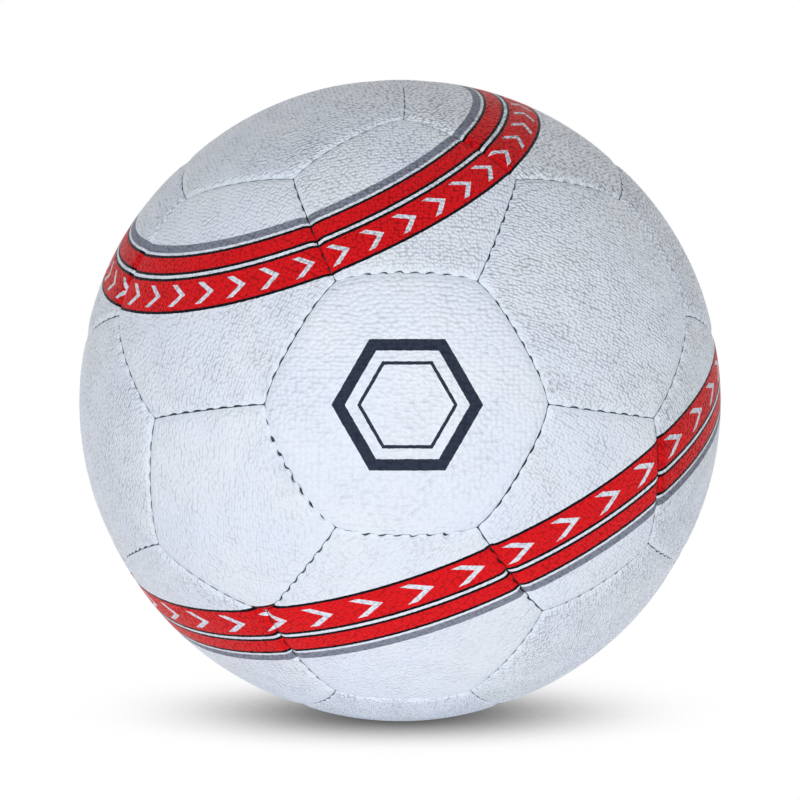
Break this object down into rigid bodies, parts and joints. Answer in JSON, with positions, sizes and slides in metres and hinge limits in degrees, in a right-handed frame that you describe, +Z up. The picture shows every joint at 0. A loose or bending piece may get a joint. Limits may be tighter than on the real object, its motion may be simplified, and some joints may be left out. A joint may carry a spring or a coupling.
{
  "type": "handball",
  "caption": "Hand-stitched team handball with crowned white leather panels, turned-in seams, thread, bladder and inflating valve.",
  "frame": {"origin": "centre of the ball", "axes": "-Y is the middle of the front six-sided panel, +Z is up with a five-sided panel above the front one, and +Y is the axis of the inflating valve in the opposite panel"},
  "size_m": [0.1868, 0.1877, 0.1874],
  "materials": {
    "panel_leather": "satin",
    "waxed_thread": "matte",
    "bladder_rubber": "matte",
    "valve_rubber": "satin",
    "valve_core_rubber": "satin"
  },
  "bodies": {
    "root": {"hexagon_panel_01": "panel_leather", "hexagon_panel_02": "panel_leather", "hexagon_panel_03": "panel_leather", "hexagon_panel_04": "panel_leather", "hexagon_panel_05": "panel_leather", "hexagon_panel_06": "panel_leather", "hexagon_panel_07": "panel_leather", "hexagon_panel_08": "panel_leather", "hexagon_panel_09": "panel_leather", "hexagon_panel_10": "panel_leather", "hexagon_panel_11": "panel_leather", "hexagon_panel_12": "panel_leather", "hexagon_panel_13": "panel_leather", "hexagon_panel_14": "panel_leather", "hexagon_panel_15": "panel_leather", "hexagon_panel_16": "panel_leather", "hexagon_panel_17": "panel_leather", "hexagon_panel_18": "panel_leather", "hexagon_panel_19": "panel_leather", "valve_panel": "panel_leather", "pentagon_panel_01": "panel_leather", "pentagon_panel_02": "panel_leather", "pentagon_panel_03": "panel_leather", "pentagon_panel_04": "panel_leather", "pentagon_panel_05": "panel_leather", "pentagon_panel_06": "panel_leather", "pentagon_panel_07": "panel_leather", "pentagon_panel_08": "panel_leather", "pentagon_panel_09": "panel_leather", "pentagon_panel_10": "panel_leather", "pentagon_panel_11": "panel_leather", "pentagon_panel_12": "panel_leather", "seam_thread": "waxed_thread", "bladder": "bladder_rubber", "valve_body": "valve_rubber", "valve_core": "valve_core_rubber"}
  },
  "joints": []
}
